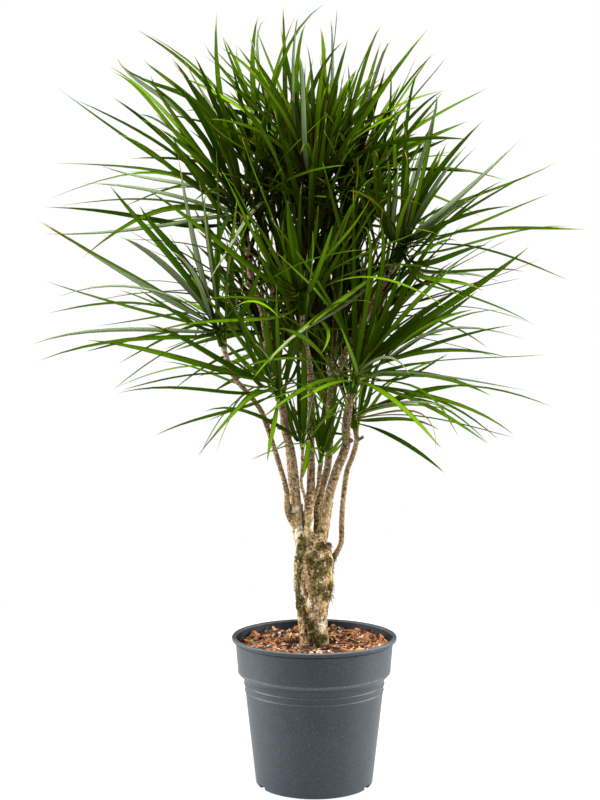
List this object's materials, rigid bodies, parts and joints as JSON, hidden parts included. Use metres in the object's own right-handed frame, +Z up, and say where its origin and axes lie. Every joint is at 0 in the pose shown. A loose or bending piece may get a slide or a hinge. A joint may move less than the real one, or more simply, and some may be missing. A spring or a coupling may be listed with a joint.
{
  "type": "potted dracaena",
  "caption": "Tall potted dracaena with a short mossy trunk, bare branches and heads of narrow arching leaves, standing in a plain plastic nursery pot.",
  "frame": {"origin": "centre of the pot's underside, on the surface that the pot stands on", "axes": "+Z up along the pot's axis, -Y towards the viewer of the picture, +X to the viewer's right"},
  "size_m": [0.7753, 0.7319, 1.135],
  "materials": {
    "pot_plastic": "fine moulded grain, dark slate grey",
    "potting_mix": "rough red-brown bark and coir",
    "branch_bark": "ringed pale bark, mossy below",
    "leaf_green": "satin leaf with a thin maroon edge"
  },
  "bodies": {
    "root": {"pot": "pot_plastic", "soil": "potting_mix", "trunk": "branch_bark", "leaf_head_far_left": "leaf_green", "leaf_head_left_front": "leaf_green", "leaf_head_upper_left": "leaf_green", "leaf_head_low_centre": "leaf_green", "leaf_head_low_right": "leaf_green", "leaf_head_upper_centre": "leaf_green", "leaf_head_back_centre": "leaf_green", "leaf_head_upper_right": "leaf_green", "leaf_head_right": "leaf_green", "leaf_head_right_low": "leaf_green", "leaf_head_back_upper_left": "leaf_green", "leaf_head_back_left": "leaf_green", "leaf_head_back_right": "leaf_green", "leaf_head_back": "leaf_green", "leaf_head_front": "leaf_green"}
  },
  "joints": []
}
